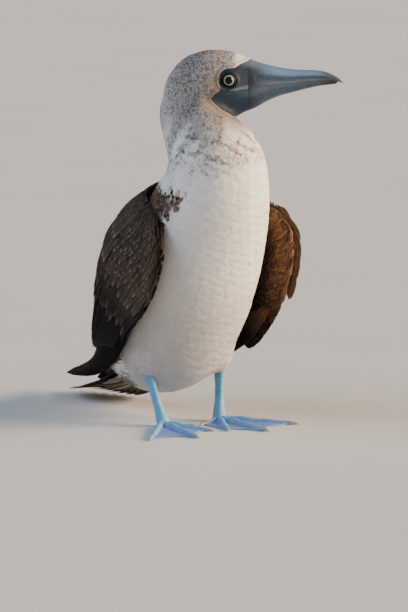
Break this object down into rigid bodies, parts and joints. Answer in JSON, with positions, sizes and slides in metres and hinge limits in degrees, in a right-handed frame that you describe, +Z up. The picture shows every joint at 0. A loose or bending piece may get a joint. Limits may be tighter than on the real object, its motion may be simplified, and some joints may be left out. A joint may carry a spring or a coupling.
{
  "type": "blue-footed booby",
  "caption": "Life-size still model of a blue-footed booby standing upright on webbed blue feet, head turned to its left and bill closed, wings folded.",
  "frame": {"origin": "on the floor, under the middle of the bird's outline seen from above", "axes": "+Z up, -Y the way the breast faces, +X the bird's left; the head is turned 57 degrees to the bird's left"},
  "size_m": [0.2518, 0.4014, 0.4592],
  "materials": {
    "white_plumage": "soft matt feathers",
    "mottled_plumage": "soft matt feathers, pale with brown streaks",
    "wing_feathers": "matt brown feathers with paler edges",
    "tail_feathers": "matt blackish brown feathers with pale tips",
    "bill": "satin slate-blue horn",
    "eye": "wet gloss",
    "leg_skin": "fine scaled turquoise skin",
    "web_skin": "fine scaled blue skin",
    "claw": "satin horn"
  },
  "bodies": {
    "root": {"torso": "white_plumage", "neck": "white_plumage", "head": "mottled_plumage", "bill_upper": "bill", "bill_lower": "bill", "eye_left": "eye", "eye_right": "eye", "wing_left": "wing_feathers", "wing_right": "wing_feathers", "tail": "tail_feathers", "leg_left": "leg_skin", "leg_right": "leg_skin", "foot_left": "web_skin", "foot_right": "web_skin", "claw_left_outer": "claw", "claw_left_middle": "claw", "claw_left_inner": "claw", "claw_left_hind": "claw", "claw_right_outer": "claw", "claw_right_middle": "claw", "claw_right_inner": "claw", "claw_right_hind": "claw"}
  },
  "joints": []
}
